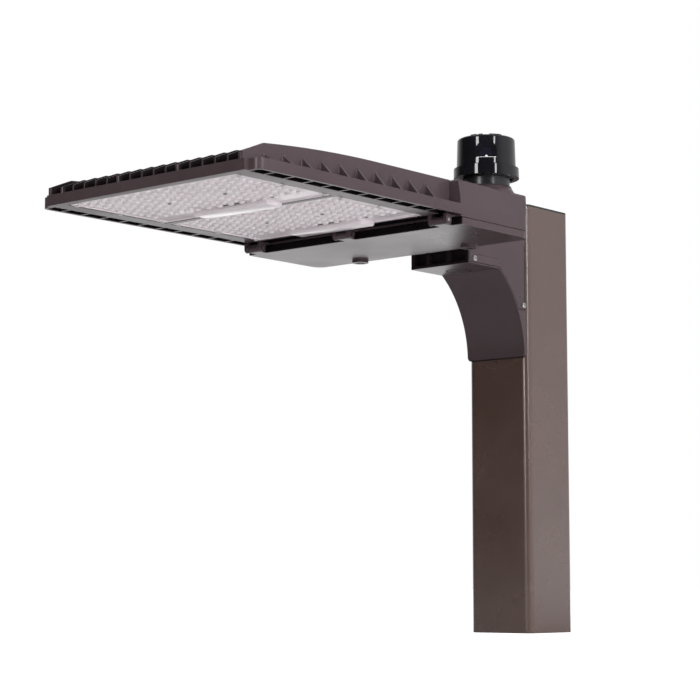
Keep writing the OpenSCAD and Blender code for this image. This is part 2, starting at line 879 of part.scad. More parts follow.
// A clear lens plate with its screw ears and the hump over the wires
module lens_plate(front) {
    rear = front - pocket_l + lens_edge_gap;
    half = pocket_w / 2 - lens_edge_gap;
    color([0.85, 0.85, 0.84, 0.75])
        difference() {
            union() {
                block(-half, half, rear, front - lens_edge_gap, lens_low, lens_top);
                for (place = lens_screw_places(front))
                    at(place[0], place[1], sink_z)
                        linear_extrude(lens_low - sink_z + lens_t / 2)
                            square([2 * lens_screw_in - lens_edge_gap * 2, ear_w], center = true);
                block(-hump_w / 2, hump_w / 2, rear, rear + hump_l, hump_low, lens_low + lens_t / 2);
            }
            block(-hump_w / 2 + hump_wall, hump_w / 2 - hump_wall, rear + lens_gasket_w + hump_wall,
                rear + hump_l - hump_wall, hump_low + hump_wall, lens_top + over);
            for (place = lens_screw_places(front))
                at(place[0], place[1], sink_z - over)
                    cylinder(h = lens_top - sink_z + 2 * over, r = lens_screw_r + clear_gap);
        }
}

module lens_front() {
    lens_plate(pocket_fronts[0]);
}

module lens_rear() {
    lens_plate(pocket_fronts[1]);
}

module lens_gasket(front) {
    side_rim = lens_edge_gap + lens_gasket_w;
    end_rim = lens_edge_gap + lens_gasket_end_w;
    color([0.2, 0.2, 0.2])
        difference() {
            block(-pocket_w / 2 + lens_edge_gap, pocket_w / 2 - lens_edge_gap,
                front - pocket_l + lens_edge_gap, front - lens_edge_gap, lens_top, board_ledge);
            block(-pocket_w / 2 + side_rim, pocket_w / 2 - side_rim, front - pocket_l + end_rim,
                front - end_rim, lens_top - over, board_ledge + over);
            for (place = lens_screw_places(front))
                at(place[0], place[1], lens_top - over)
                    cylinder(h = lens_gasket_t + 2 * over, r = lens_screw_r + clear_gap);
        }
}

module lens_gasket_front() {
    lens_gasket(pocket_fronts[0]);
}

module lens_gasket_rear() {
    lens_gasket(pocket_fronts[1]);
}

module lens_screws() {
    color([0.75, 0.75, 0.74])
        for (front = pocket_fronts, place = lens_screw_places(front))
            union() {
                at(place[0], place[1], sink_z - lens_head_h)
                    cylinder(h = lens_head_h, r = lens_head_r);
                at(place[0], place[1], sink_z - lens_head_h / 2)
                    cylinder(h = board_ledge - sink_z + lens_head_h / 2 + lens_screw_bite, r = lens_screw_r);
            }
}

// Inside the driver box

driver_l = 176;
driver_side = 32;
driver_x = driver_side - head_w / 2;
driver_w = 60;
driver_h = 34;
driver_room = 4;
driver_out = box_front - box_wall - ledge_w - driver_w - driver_room;
driver_tab = 12;
driver_tab_t = 3;
surge_side = 30;
surge_x = surge_side - head_w / 2;
surge_l = 46;
surge_w = 30;
surge_h = 24;
surge_in = 26;
surge_out = arm_reach + surge_in;
terminal_x = -60;
terminal_l = 56;
terminal_w = 22;
terminal_h = 15;
terminal_end = 5;
terminal_in = 30;
terminal_out = arm_reach + terminal_in;
ceiling_screw_r = 2;
ceiling_head_r = 3.8;
ceiling_head_h = 2.5;
roof_left = 1;
tab_shares = [0.25, 0.75];
driver_screw_places = [for (x = [driver_x - driver_tab / 2, driver_x + driver_l + driver_tab / 2],
    share = tab_shares) [x, driver_out + share * driver_w]];
surge_screw_place = [surge_x + surge_l + driver_tab / 2, surge_out + surge_w / 2];
terminal_screw_places = [for (x = [terminal_x + terminal_end, terminal_x + terminal_l - terminal_end])
    [x, terminal_out + terminal_w / 2]];
ceiling_screws = concat(driver_screw_places, [surge_screw_place], terminal_screw_places);

module led_driver() {
    color([0.78, 0.78, 0.8])
        difference() {
            union() {
                block(driver_x, driver_x + driver_l, driver_out, driver_out + driver_w,
                    ceiling - driver_h, ceiling, driver_tab_t);
                block(driver_x - driver_tab, driver_x + driver_l + driver_tab, driver_out + driver_tab_t,
                    driver_out + driver_w - driver_tab_t, ceiling - driver_tab_t, ceiling);
            }
            for (place = driver_screw_places)
                at(place[0], place[1], ceiling - driver_tab_t - over)
                    cylinder(h = driver_tab_t + 2 * over, r = ceiling_screw_r + clear_gap);
        }
}

module surge_protector() {
    color([0.2, 0.2, 0.22])
        difference() {
            union() {
                block(surge_x, surge_x + surge_l, surge_out, surge_out + surge_w, ceiling - surge_h, ceiling,
                    driver_tab_t);
                block(surge_x + surge_l / 2, surge_x + surge_l + driver_tab,
                    surge_out + tab_shares[0] * surge_w, surge_out + tab_shares[1] * surge_w,
                    ceiling - driver_tab_t, ceiling);
            }
            at(surge_screw_place[0], surge_screw_place[1], ceiling - driver_tab_t - over)
                cylinder(h = driver_tab_t + 2 * over, r = ceiling_screw_r + clear_gap);
        }
}

module terminal_block() {
    entry_r = 3;
    entry_depth_share = 1 / 3;
    entry_count = 3;
    entry_pitch = 11.2;
    color([0.9, 0.9, 0.86])
        difference() {
            block(terminal_x, terminal_x + terminal_l, terminal_out, terminal_out + terminal_w,
                ceiling - terminal_h, ceiling);
            for (place = terminal_screw_places) {
                at(place[0], place[1], ceiling - terminal_h - over)
                    cylinder(h = terminal_h + 2 * over, r = ceiling_screw_r + clear_gap);
                at(place[0], place[1], ceiling - terminal_h - over)
                    cylinder(h = terminal_h - driver_tab_t + over, r = ceiling_head_r + clear_gap);
            }
            for (i = [0 : entry_count - 1])
                bar_out(terminal_x + terminal_l / 2 + (i - (entry_count - 1) / 2) * entry_pitch,
                    ceiling - terminal_h / 2, terminal_out - over,
                    terminal_out + entry_depth_share * terminal_w, entry_r);
        }
}

module driver_screws() {
    color([0.7, 0.7, 0.7])
        for (place = ceiling_screws)
            union() {
                at(place[0], place[1], ceiling - driver_tab_t - ceiling_head_h)
                    cylinder(h = ceiling_head_h, r = ceiling_head_r);
                at(place[0], place[1], ceiling - driver_tab_t - ceiling_head_h / 2)
                    cylinder(h = ceiling_head_h / 2 + driver_tab_t + box_wall - 2 * roof_left,
                        r = ceiling_screw_r);
            }
}

// Leads from the driver to the two boards, through the duct on the heat sink

lead_r = 2.2;
lead_rise = 6;
lead_up = sink_top + lead_rise;
duct_side = 16;
duct_x = driver_x + driver_l + duct_side;
duct_w = 20;
duct_end_share = 1 / 3;
lead_apart_share = 0.2;
duct_h = 12;
rear_lead_x = duct_x - lead_apart_share * duct_w;
front_lead_x = duct_x + lead_apart_share * duct_w;
rear_lead_out = pocket_fronts[1] - pocket_l + hump_l / 2 + lens_gasket_w / 2;
front_lead_out = pocket_fronts[0] - pocket_l + hump_l / 2 + lens_gasket_w / 2;
driver_lead_spacing = 8;

// The stretch along the duct and down to the board
module lead_run(x, out_end, out_from, r, extra) {
    bar_out(x, lead_up, out_from, out_end, r);
    at(x, out_end, lead_up)
        sphere(r);
    at(x, out_end, board_top - board_t - extra)
        cylinder(h = lead_up - board_top + board_t + extra, r = r);
}

module module_lead_solid(x, out_end, out_from) {
    union() {
        lead_run(x, out_end, out_from, lead_r, 0);
        at(x, out_from, lead_up)
            sphere(lead_r);
        side_slab(driver_x + driver_l, x)
            translate([out_from, lead_up])
                circle(lead_r);
    }
}

module rear_module_lead() {
    color([0.85, 0.2, 0.15])
        module_lead_solid(rear_lead_x, rear_lead_out, driver_out + driver_w / 2 + driver_lead_spacing);
}

module front_module_lead() {
    color([0.1, 0.1, 0.1])
        module_lead_solid(front_lead_x, front_lead_out, driver_out + driver_w / 2);
}

// Door

gasket_h = 3;
gasket_w = 4;
gasket_in = 1.8;
door_floor = 3;
door_boss_r = 11;
door_boss_h = 4;
door_boss_wall = 0.5;
door_inner_boss_r = 7;
door_inner_boss_h = 3;

// A ring that follows the driver box's plan
module ring_block(inset, w, up0, up1) {
    difference() {
        box_plan(inset, up0, up1);
        box_plan(inset + w, up0 - over, up1 + over);
    }
}

module door_gasket() {
    color([0.15, 0.15, 0.15])
        ring_block(box_wall + gasket_in, gasket_w, box_low - gasket_h, box_low);
}

module door_hinge_pins() {
    reach = knuckle_w / 2 + seam_gap + lug_t;
    color([0.7, 0.7, 0.7])
        for (x = hinge_places)
            side_slab(x - reach, x + reach)
                translate([hinge_out, hinge_up])
                    circle(hinge_pin_r);
}

module driver_door() {
    color([0.34, 0.3, 0.31])
        difference() {
            union() {
                difference() {
                    box_plan(door_inset, 0, door_h);
                    box_plan(door_inset + door_wall, door_floor, door_h + over);
                }
                ring_block(box_wall + gasket_in + soft_gap, gasket_w - 2 * soft_gap, door_floor / 2,
                    box_low - gasket_h - soft_gap);
                for (side = [-1, 1]) {
                    at(side * door_screw_x, door_screw_out, -door_boss_h)
                        cylinder(h = door_boss_h + door_floor / 2, r = door_boss_r);
                    at(side * door_screw_x, door_screw_out, door_floor / 2)
                        cylinder(h = door_floor / 2 + door_inner_boss_h, r = door_inner_boss_r);
                }
                for (x = hinge_places)
                    side_slab(x - knuckle_w / 2, x + knuckle_w / 2) {
                        translate([box_front - door_inset - door_wall / 2, 0])
                            square([hinge_out - box_front + door_inset + door_wall / 2, door_h]);
                        translate([hinge_out, hinge_up])
                            circle(knuckle_r);
                    }
            }
            for (x = hinge_places)
                side_slab(x - knuckle_w, x + knuckle_w)
                    translate([hinge_out, hinge_up])
                        circle(hinge_pin_r + run_gap);
            for (side = [-1, 1]) {
                at(side * door_screw_x, door_screw_out, -door_boss_h - over)
                    cylinder(h = door_boss_h + over - door_boss_wall, r = screw_cap_r + clear_gap);
                at(side * door_screw_x, door_screw_out, -door_boss_h - over)
                    cylinder(h = door_boss_h + door_h + 2 * over, r = door_screw_r + run_gap);
            }
        }
}

screw_cap_r = 7;
screw_cap_h = 3.2;
screw_clip_r = 4.6;
screw_clip_t = 1;
screw_slot_w = 2;
screw_slot_d = 1.6;
screw_slot_share = 0.8;
screw_tip = 17;

module door_screw(side) {
    cap_top = -door_boss_wall - run_gap;
    clip_low = door_floor + door_inner_boss_h + run_gap;
    color([0.45, 0.43, 0.43])
        difference() {
            union() {
                at(side * door_screw_x, door_screw_out, cap_top - screw_cap_h)
                    cylinder(h = screw_cap_h, r = screw_cap_r);
                at(side * door_screw_x, door_screw_out, cap_top - screw_cap_h / 2)
                    cylinder(h = screw_tip - cap_top + screw_cap_h / 2, r = door_screw_r);
                at(side * door_screw_x, door_screw_out, clip_low)
                    cylinder(h = screw_clip_t, r = screw_clip_r);
            }
            for (turn = [0, 90])
                at(side * door_screw_x, door_screw_out, cap_top - screw_cap_h + screw_slot_d / 2)
                    rotate([0, 0, turn])
                        cube([2 * screw_slot_share * screw_cap_r, screw_slot_w, screw_slot_d], center = true);
        }
}

module door_screw_left() {
    door_screw(-1);
}

module door_screw_right() {
    door_screw(1);
}

// Receptacle and photocell

seat_top = box_top + seat_h;
seat_gasket_t = 1.5;
disc_low = seat_top + seat_gasket_t + soft_gap;
disc_top = disc_low + receptacle_h;
neck_l = 22;
neck_low = ceiling - neck_l;
nut_r = 25;
nut_t = 4;
blade_r = 15;
blade_t = 2;
blade_deep = 9;
groove_room = 1.5;
groove_depth = 12;
contact_low_share = 0.25;
blade_turns = [90, 210, 330];
blade_sweep = 24;
cell_gasket_t = 2;
cell_gasket_w = 5;
cell_low = disc_top + cell_gasket_t + soft_gap;
base_t = 7;
post_up = 5;
post_ring_share = 0.62;
board_r_share = 0.8;
cap_wall = 2.5;
cap_bottom = disc_top + soft_gap;
cap_edge_r = 3;
body_taper = 1;
crest_h = 1.2;
crest_w = 6;
crest_in = 0.5;
crest_from = 7.6;
crest_sweep = 27.8;
crest_up = cap_bottom + cell_h - crest_h;

module cell_tube(r, inner, low, high) {
    at(cell_x, cell_out, low)
        linear_extrude(high - low)
            difference() {
                circle(r);
                if (inner > 0)
                    circle(inner);
            }
}

// A stretch of a ring round the photocell's axis
module cell_sector(r0, r1, low, high, turn, sweep) {
    at(cell_x, cell_out, low)
        linear_extrude(high - low)
            polygon(concat(arc_points(0, 0, r1, turn, turn + sweep),
                arc_points(0, 0, r0, turn + sweep, turn)));
}

module receptacle_gasket() {
    color([0.12, 0.12, 0.12])
        cell_tube(seat_r - soft_gap, neck_r + 2 * clear_gap, seat_top, seat_top + seat_gasket_t);
}

module receptacle_body() {
    color([0.07, 0.07, 0.08])
        difference() {
            union() {
                cell_tube(receptacle_r, 0, disc_low, disc_top);
                cell_tube(neck_r, 0, neck_low, disc_low + over);
            }
            cell_tube(blade_r + blade_t / 2 + groove_room, blade_r - blade_t / 2 - groove_room,
                disc_top - groove_depth, disc_top + over);
            cell_tube(neck_r - 2 * wall_t, 0, neck_low - over, disc_top - groove_depth - 2 * wall_t);
        }
}

module receptacle_contacts() {
    color([0.8, 0.66, 0.35])
        for (turn = blade_turns)
            cell_sector(blade_r + blade_t / 2 + soft_gap, blade_r + blade_t / 2 + groove_room,
                disc_top - groove_depth, disc_top - contact_low_share * groove_depth, turn, blade_sweep);
}

module receptacle_nut() {
    color([0.6, 0.6, 0.6])
        difference() {
            at(cell_x, cell_out, ceiling - soft_gap - nut_t)
                hex_head(nut_r, nut_t);
            cell_tube(neck_r + run_gap / 2, 0, ceiling - nut_t - over, ceiling + over);
        }
}

module photocell_gasket() {
    color([0.1, 0.1, 0.1])
        cell_tube(receptacle_r - soft_gap, receptacle_r - cell_gasket_w, disc_top + soft_gap, cell_low);
}

module photocell_base() {
    post_ring = cell_r * post_ring_share;
    color([0.09, 0.09, 0.1])
        union() {
            cell_tube(cell_r - cap_wall - clear_gap, 0, cell_low, cell_low + base_t);
            for (turn = blade_turns)
                at(cell_x + post_ring * cos(turn), cell_out - post_ring * sin(turn),
                    cell_low + base_t / 2)
                    cylinder(h = base_t / 2 + post_up, r = wall_t);
        }
}

module photocell_blades() {
    color([0.8, 0.66, 0.35])
        for (turn = blade_turns)
            cell_sector(blade_r - blade_t / 2, blade_r + blade_t / 2, cell_low - blade_deep, cell_low,
                turn, blade_sweep);
}

module photocell_board() {
    color([0.1, 0.35, 0.18])
        cell_tube(board_r_share * cell_r, 0, cell_low + base_t + post_up,
            cell_low + base_t + post_up + board_t);
}

relay_l = 20;
relay_w = 16;
relay_h = 15;

module photocell_relay() {
    board_up = cell_low + base_t + post_up + board_t;
    color([0.15, 0.25, 0.5])
        block(cell_x - relay_l / 2, cell_x + relay_l / 2, cell_out - relay_w / 2, cell_out + relay_w / 2,
            board_up, board_up + relay_h);
}

// The arched recess and its window face out and to the right, at this turn about the axis
window_turn = -53;
window_half_w = 13.4;
window_rise = 21;
window_sill = cap_bottom + window_rise;
window_depth = 3;
arch_leg_share = 0.65;
pane_t = 1.2;
pane_half_share = 0.62;

// An arch standing on the sill, given a thickness along its facing direction
module arch(half_w, from_axis, depth) {
    at(cell_x, cell_out, window_sill)
        rotate([0, 0, window_turn + 90])
            translate([0, -from_axis, 0])
                rotate([90, 0, 0])
                    linear_extrude(depth) {
                        translate([-half_w, 0])
                            square([2 * half_w, arch_leg_share * half_w]);
                        translate([0, arch_leg_share * half_w])
                            circle(half_w);
                    }
}

// The cap has a low crest on each side of the window, near the edge of its top
module photocell_cap() {
    body_top_r = cell_r - body_taper;
    body_h = cell_h - crest_h;
    crest_r = body_top_r - cap_edge_r;
    color([0.05, 0.05, 0.06])
        difference() {
            union() {
                at(cell_x, cell_out, cap_bottom)
                    rotate_extrude()
                        polygon(concat([[0, 0], [skirt_r, 0], [skirt_r - clear_gap, skirt_h - cap_edge_r / 2],
                            [cell_r, skirt_h]],
                            arc_points(crest_r, body_h - cap_edge_r, cap_edge_r, 0, 90),
                            [[0, body_h]]));
                for (turn = [window_turn + crest_from, window_turn - crest_from - crest_sweep])
                    cell_sector(crest_r - crest_in - crest_w, crest_r - crest_in,
                        crest_up - cap_wall / 2, crest_up + crest_h, turn, crest_sweep);
            }
            at(cell_x, cell_out, cap_bottom)
                rotate_extrude()
                    polygon([[0, -over], [cell_r - cap_wall, -over], [cell_r - cap_wall, skirt_h],
                        [body_top_r - cap_wall - window_depth, skirt_h + cap_wall],
                        [body_top_r - cap_wall - window_depth, body_h - cap_wall], [0, body_h - cap_wall]]);
            difference() {
                arch(window_half_w, cell_r - window_depth, window_depth + over);
                at(cell_x, cell_out, window_sill - 2 * window_half_w)
                    cylinder(h = 2 * window_half_w, r = skirt_r);
            }
            arch(window_half_w * pane_half_share, cell_r - 3 * cap_wall, window_depth * 2);
        }
}

module photocell_window() {
    color([0.75, 0.78, 0.8, 0.5])
        arch(window_half_w * pane_half_share - clear_gap, cell_r - window_depth - pane_t, pane_t);
}

pole_section();
pole_cap();
arm_casting();
arm_side_cover();
arm_cover_screws();
arm_plug();
arm_gasket();
pole_bolts();
pole_bolt_washers();
pole_nut_plate();
housing_bolts();
housing_bolt_washers();
housing();
wire_bushing();
door_gasket();
door_hinge_pins();
driver_door();
door_screw_left();
door_screw_right();
led_board_front();
led_board_rear();
board_connectors();
lens_front();
lens_rear();
lens_gasket_front();
lens_gasket_rear();
lens_screws();
led_driver();
driver_screws();
surge_protector();
terminal_block();
rear_module_lead();
front_module_lead();
receptacle_gasket();
receptacle_body();
receptacle_contacts();
receptacle_nut();
photocell_gasket();
photocell_base();
photocell_blades();
photocell_board();
photocell_relay();
photocell_cap();
photocell_window();
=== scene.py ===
import math
import bmesh
import bpy
import numpy as np
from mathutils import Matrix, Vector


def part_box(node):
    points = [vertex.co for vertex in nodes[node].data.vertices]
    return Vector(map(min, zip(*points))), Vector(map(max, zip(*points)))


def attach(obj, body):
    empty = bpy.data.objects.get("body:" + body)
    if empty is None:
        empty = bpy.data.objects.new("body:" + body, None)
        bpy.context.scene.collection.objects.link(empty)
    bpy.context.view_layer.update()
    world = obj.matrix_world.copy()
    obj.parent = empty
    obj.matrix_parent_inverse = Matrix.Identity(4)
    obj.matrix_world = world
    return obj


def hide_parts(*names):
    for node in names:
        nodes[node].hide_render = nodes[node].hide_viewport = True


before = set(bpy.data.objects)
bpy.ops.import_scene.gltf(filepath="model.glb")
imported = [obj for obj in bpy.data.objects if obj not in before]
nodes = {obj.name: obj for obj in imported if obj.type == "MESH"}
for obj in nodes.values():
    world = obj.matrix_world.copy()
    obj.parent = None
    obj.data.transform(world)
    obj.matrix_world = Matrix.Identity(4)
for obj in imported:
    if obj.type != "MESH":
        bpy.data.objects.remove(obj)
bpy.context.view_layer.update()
scene = bpy.context.scene
mm = 0.001
print("frame loaded")


# The scene's own pieces are measured in millimetres, and their heights from the door's underside,
# which lies this far over the pole's foot

baseHeight = 500


# Camera

shot = {
    "place": (1.6357, -2.2507, 0.0666), "turn": 40.902, "tilt": 6.693,
    "lens": 102.41, "sensor": 36, "reach": 100,
}

camera = bpy.data.cameras.new("camera")
camera.lens = shot["lens"]
camera.sensor_width = shot["sensor"]
camera.clip_end = shot["reach"]
cameraObject = bpy.data.objects.new("camera", camera)
cameraObject.location = shot["place"]
cameraObject.rotation_euler = (math.radians(90 + shot["tilt"]), 0, math.radians(shot["turn"]))
scene.collection.objects.link(cameraObject)
scene.camera = cameraObject
scene.view_settings.view_transform = "Standard"
print("camera placed")


# Node trees

class Tree:
    # A short hand over a node tree: add makes a node, sets its fields and fills its inputs
    def __init__(self, tree):
        self.tree = tree

    def add(self, kind, inputs=None, **fields):
        node = self.tree.nodes.new(kind)
        for name, value in fields.items():
            setattr(node, name, value)
        for name, value in (inputs or {}).items():
            if isinstance(value, bpy.types.NodeSocket):
                self.tree.links.new(value, node.inputs[name])
            else:
                node.inputs[name].default_value = value
        return node

    def link(self, source, target):
        self.tree.links.new(source, target)

    def maths(self, operation, first, second=0.0):
        return self.add("ShaderNodeMath", {0: first, 1: second}, operation=operation).outputs[0]

    def vectors(self, operation, first, second=(0, 0, 0)):
        return self.add("ShaderNodeVectorMath", {0: first, 1: second}, operation=operation)

    def spanned(self, value, span, levels=(0, 1), **fields):
        # The value carried from one span over to another and held at its ends
        return self.add("ShaderNodeMapRange", {"Value": value, "From Min": span[0], "From Max": span[1],
            "To Min": levels[0], "To Max": levels[1]}, **fields).outputs["Result"]

    def mixed(self, factor, first, second):
        return self.add("ShaderNodeMix", {0: factor, 6: first, 7: second}, data_type="RGBA").outputs[2]

    def bumped(self, height, strength, distance, inputs=None):
        return self.add("ShaderNodeBump", {"Height": height, "Strength": strength, "Distance": distance,
            **(inputs or {})}).outputs["Normal"]

    def place(self):
        return self.add("ShaderNodeTexCoord").outputs["Object"]

    def split(self, vector):
        return self.add("ShaderNodeSeparateXYZ", {0: vector}).outputs

    def join(self, **axes):
        return self.add("ShaderNodeCombineXYZ", axes).outputs[0]


def newMaterial(name):
    material = bpy.data.materials.new(name)
    material.use_nodes = True
    tree = Tree(material.node_tree)
    shader = material.node_tree.nodes["Principled BSDF"]
    return material, tree, shader


# Noise keeps to the middle of its range, so this span of it is stretched to the full one

noiseSpan = (0.3, 0.7)


def objectNoise(tree, scale, detail=2.0, stretch=(1, 1, 1)):
    mapping = tree.add("ShaderNodeMapping", {"Vector": tree.place(), "Scale": stretch})
    return tree.add("ShaderNodeTexNoise", {"Vector": mapping.outputs["Vector"], "Scale": scale,
        "Detail": detail}).outputs["Fac"]


def colourBetween(tree, factor, low, high):
    return tree.mixed(tree.spanned(factor, noiseSpan), (*low, 1), (*high, 1))


def numberBetween(tree, factor, levels):
    return tree.spanned(factor, noiseSpan, levels)


# Painted shade: recesses painted dark and dull where shade falls in them, as boxes in metres that count on both
# sides of the middle

paintedShade = {
    "boxes": {
        "slotsBesideFins": ((0.1590, -0.7055, 0.5125), (0.1780, -0.364, 0.5243)),
        "troughOverHinges": ((-0.01, -0.383, 0.5125), (0.168, -0.3605, 0.5206)),
        "doorFront": ((-0.01, -0.3645, 0.5008), (0.1795, -0.3605, 0.5098)),
        "armFoot": ((-0.01, -0.0680, 0.3728), (0.0488, -0.0502, 0.3749)),
    },
    "shelf": ((-0.01, -0.1795, 0.4895), (0.0485, -0.1690, 0.5116)), "shelfShare": 0.82,
    "fins": ((-0.01, -0.7225, 0.5268), (0.1587, -0.364, 0.6)), "finSides": 0.7, "finShare": 0.85,
    "colour": (0.008, 0.006, 0.007), "specularShare": 0.1,
}


def inPaintedShade(tree):
    # One where the point lies in any of the boxes of painted shade, zero elsewhere
    parts = tree.split(tree.place())
    point = tree.join(X=tree.maths("ABSOLUTE", parts["X"]), Y=parts["Y"], Z=parts["Z"])

    def within(low, high):
        middle = [(a + b) / 2 for a, b in zip(low, high)]
        half = [(b - a) / 2 for a, b in zip(low, high)]
        apart = tree.vectors("ABSOLUTE", tree.vectors("SUBTRACT", point, middle).outputs[0]).outputs[0]
        past = tree.split(tree.vectors("SUBTRACT", apart, half).outputs[0])
        most = tree.maths("MAXIMUM", tree.maths("MAXIMUM", past["X"], past["Y"]), past["Z"])
        return tree.maths("LESS_THAN", most)

    # Between the fins only the faces that look sideways get the painted shade, so that the noses stay bright
    normal = tree.add("ShaderNodeTexCoord").outputs["Normal"]
    sideways = tree.maths("GREATER_THAN", tree.maths("ABSOLUTE", tree.split(normal)["X"]), paintedShade["finSides"])
    share = tree.maths("MULTIPLY", sideways, paintedShade["finShare"])
    inside = tree.maths("MULTIPLY", share, within(*paintedShade["fins"]))
    shelf = tree.maths("MULTIPLY", within(*paintedShade["shelf"]), paintedShade["shelfShare"])
    inside = tree.maths("MAXIMUM", inside, shelf)
    for box in paintedShade["boxes"].values():
        inside = tree.maths("MAXIMUM", inside, within(*box))
    return inside


# The gap round the arm's plug, in metres; the plug's face is painted dark beyond the radius, as painted shade
# in the gap

plugRing = {"middle": (-0.006, -0.1298, 0), "radius": 0.0154}


def plugGapShade(tree):
    # One beyond the radius from the middle, seen along Z, zero inside it
    parts = tree.split(tree.place())
    flat = tree.join(X=parts["X"], Y=parts["Y"])
    apart = tree.vectors("DISTANCE", flat, plugRing["middle"]).outputs["Value"]
    return tree.maths("GREATER_THAN", apart, plugRing["radius"])


# Powder coat: a slow change of tone, a fine orange peel, rounded edges and edges painted a little lighter,
# partly as rubbed wear and partly as a painted highlight

coat = {
    "toneScale": 9, "toneDetail": 3, "peelScale": 900, "peelDetail": 1, "peelDepth": 0.00012,
    "fleckScale": 420, "fleckDetail": 2, "fleckSpan": (0.66, 0.8), "fleckShare": 0.25,
    "edgeWearAndHighlightSpan": (0.97, 0.8), "edgeWearAndHighlightShare": 0.35, "worn": (0.2, 0.17, 0.16), "edgeSamples": 4,
}

castLook = {"low": (0.056, 0.040, 0.043), "high": (0.069, 0.049, 0.053), "rough": (0.26, 0.34), "peel": 0.12,
    "edge": 0.0009, "specular": 0.34, "tint": (1, 0.91, 0.95), "ior": 1.5}
poleLook = {"low": (0.064, 0.036, 0.026), "high": (0.078, 0.045, 0.033), "rough": (0.22, 0.3), "peel": 0.25,
    "edge": 0.0006, "specular": 1.0, "tint": (1, 0.94, 0.97), "ior": 1.62}


def powderCoat(name, look, shadeMask=None):
    # Where the shade mask gives one, the coat is painted dark and dull as painted shade
    material, tree, shader = newMaterial(name)
    tone = objectNoise(tree, coat["toneScale"], coat["toneDetail"])
    speckle = objectNoise(tree, coat["fleckScale"], coat["fleckDetail"])
    peel = objectNoise(tree, coat["peelScale"], coat["peelDetail"])
    worn = (*coat["worn"], 1)
    fleck = tree.spanned(speckle, coat["fleckSpan"], (0, coat["fleckShare"]))
    flecked = tree.mixed(fleck, colourBetween(tree, tone, look["low"], look["high"]), worn)
    bevel = tree.add("ShaderNodeBevel", {"Radius": look["edge"]}, samples=coat["edgeSamples"])
    rounded = bevel.outputs["Normal"]
    plain = tree.add("ShaderNodeNewGeometry").outputs["Normal"]
    agree = tree.vectors("DOT_PRODUCT", rounded, plain).outputs["Value"]
    # Edges are painted lighter where the rounded normal turns from the plain one: partly rubbed wear, partly a
    # painted highlight
    colour = tree.mixed(tree.spanned(agree, coat["edgeWearAndHighlightSpan"], (0, coat["edgeWearAndHighlightShare"])), flecked, worn)
    shader.inputs["Specular IOR Level"].default_value = look["specular"]
    shader.inputs["Specular Tint"].default_value = (*look["tint"], 1)
    shader.inputs["IOR"].default_value = look["ior"]
    if shadeMask:
        inside = shadeMask(tree)
        colour = tree.mixed(inside, colour, (*paintedShade["colour"], 1))
        dulled = tree.spanned(inside, (0, 1), (look["specular"], look["specular"] * paintedShade["specularShare"]))
        tree.link(dulled, shader.inputs["Specular IOR Level"])
    tree.link(colour, shader.inputs["Base Color"])
    tree.link(numberBetween(tree, tone, look["rough"]), shader.inputs["Roughness"])
    tree.link(tree.bumped(peel, look["peel"], coat["peelDepth"], {"Normal": rounded}), shader.inputs["Normal"])
    return material


# Moulded plastic or rubber: two close tones, a fine skin and, for gloss, a coat

skin = {"toneScale": 30, "toneDetail": 3, "scale": 700, "detail": 1, "distance": 0.0001}


def moulded(name, low, high, rough=(0.4, 0.5), depth=0.1, specular=0.4, gloss=0.0):
    material, tree, shader = newMaterial(name)
    tone = objectNoise(tree, skin["toneScale"], skin["toneDetail"])
    grain = objectNoise(tree, skin["scale"], skin["detail"])
    tree.link(colourBetween(tree, tone, low, high), shader.inputs["Base Color"])
    tree.link(numberBetween(tree, tone, rough), shader.inputs["Roughness"])
    tree.link(tree.bumped(grain, depth, skin["distance"]), shader.inputs["Normal"])
    shader.inputs["Specular IOR Level"].default_value = specular
    shader.inputs["Coat Weight"].default_value = gloss
    return material


# Plated or bare metal: brushed along one way

brushed = {"scale": 90, "detail": 3, "strength": 0.12, "distance": 0.0001}


def metal(name, low, high, rough=(0.28, 0.42), stretch=(1, 1, 30)):
    material, tree, shader = newMaterial(name)
    streak = objectNoise(tree, brushed["scale"], brushed["detail"], stretch)
    tree.link(colourBetween(tree, streak, low, high), shader.inputs["Base Color"])
    tree.link(numberBetween(tree, streak, rough), shader.inputs["Roughness"])
    tree.link(tree.bumped(streak, brushed["strength"], brushed["distance"]), shader.inputs["Normal"])
    shader.inputs["Metallic"].default_value = 1
    return material


# Lens plastic: the tips of the bumps painted whiter as a painted highlight and made shinier, duller on the flat
# plate, with faint flow marks

clear = {
    "low": (0.86, 0.80, 0.815), "high": (0.92, 0.86, 0.875), "tip": (1.0, 0.99, 0.99), "tipSpan": (0.5, 0.98),
    "flowScale": 22, "flowDetail": 3, "flowStretch": (1, 3, 1), "rough": (0.08, 0.14),
    "specularSpan": (0.0, 0.2), "specular": (0.06, 0.5), "ior": 1.58, "transmission": 0.1,
    "skinScale": 260, "skinDetail": 1, "skinStrength": 0.08, "skinDistance": 0.0001,
}


def lensPlastic(name):
    material, tree, shader = newMaterial(name)
    flow = objectNoise(tree, clear["flowScale"], clear["flowDetail"], clear["flowStretch"])
    base = colourBetween(tree, flow, clear["low"], clear["high"])
    height = tree.add("ShaderNodeAttribute", attribute_name="tip").outputs["Fac"]
    grain = objectNoise(tree, clear["skinScale"], clear["skinDetail"])
    shine = tree.spanned(height, clear["specularSpan"], clear["specular"])
    # The tips of the bumps are painted whiter, as a painted highlight
    colour = tree.mixed(tree.spanned(height, clear["tipSpan"]), base, (*clear["tip"], 1))
    tree.link(shine, shader.inputs["Specular IOR Level"])
    tree.link(colour, shader.inputs["Base Color"])
    tree.link(numberBetween(tree, flow, clear["rough"]), shader.inputs["Roughness"])
    tree.link(tree.bumped(grain, clear["skinStrength"], clear["skinDistance"]), shader.inputs["Normal"])
    shader.inputs["IOR"].default_value = clear["ior"]
    shader.inputs["Transmission Weight"].default_value = clear["transmission"]
    return material


